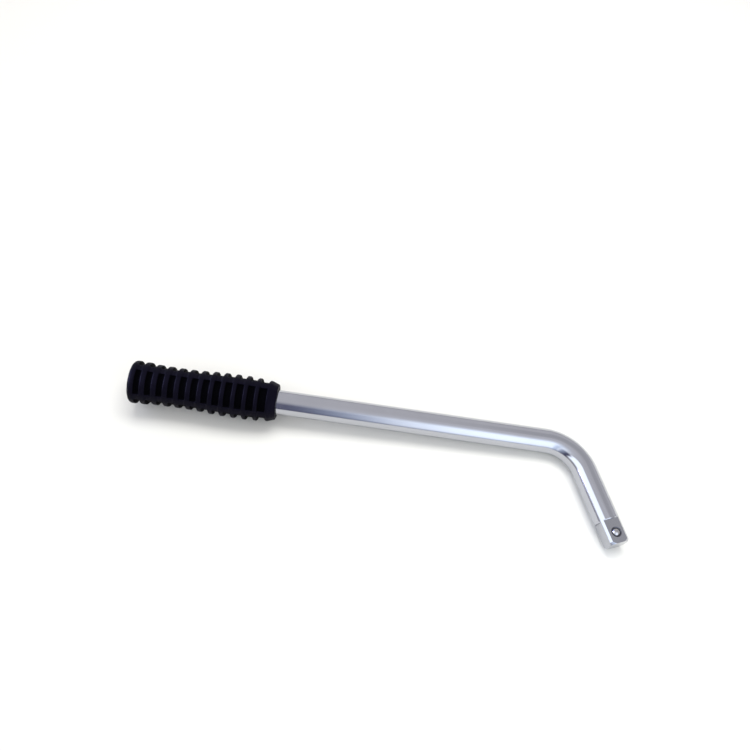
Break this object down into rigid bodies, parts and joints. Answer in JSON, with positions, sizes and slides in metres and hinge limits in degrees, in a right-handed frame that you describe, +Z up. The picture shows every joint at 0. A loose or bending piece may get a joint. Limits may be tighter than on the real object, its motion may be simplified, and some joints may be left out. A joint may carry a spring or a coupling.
{
  "type": "lug wrench",
  "caption": "L-shaped lug wrench: a round chromed bar bent to a short arm that ends in a square drive with a sprung detent ball, and a ribbed black rubber grip on the long end.",
  "frame": {"origin": "centre of the flat end face of the square drive", "axes": "the wrench lies flat: the L is in the XY plane, +X runs along the long bar from the grip towards the bend, the short arm points 68 degrees from +X towards -Y, and +Z is up, the way the detent ball faces"},
  "size_m": [0.3204, 0.0803, 0.0286],
  "materials": {
    "bar_chrome": "satin chrome plate over drawn steel bar",
    "ball_steel": "polished bearing ball",
    "spring_steel": "drawn spring wire",
    "grip_rubber": "moulded rubber, matt with a faint sheen"
  },
  "bodies": {
    "wrench": {"drive_bar": "bar_chrome", "rubber_grip": "grip_rubber", "detent_spring": "spring_steel"},
    "ball": {"detent_ball": "ball_steel"}
  },
  "joints": [
    {"name": "detent_travel", "type": "slide", "parent": "wrench", "child": "ball", "axis": [0, 0, -1], "range_m": [0, 0.00105], "stiffness_N_per_m": 2000, "springref_m": -0.0015, "deforming": ["detent_spring"]}
  ]
}
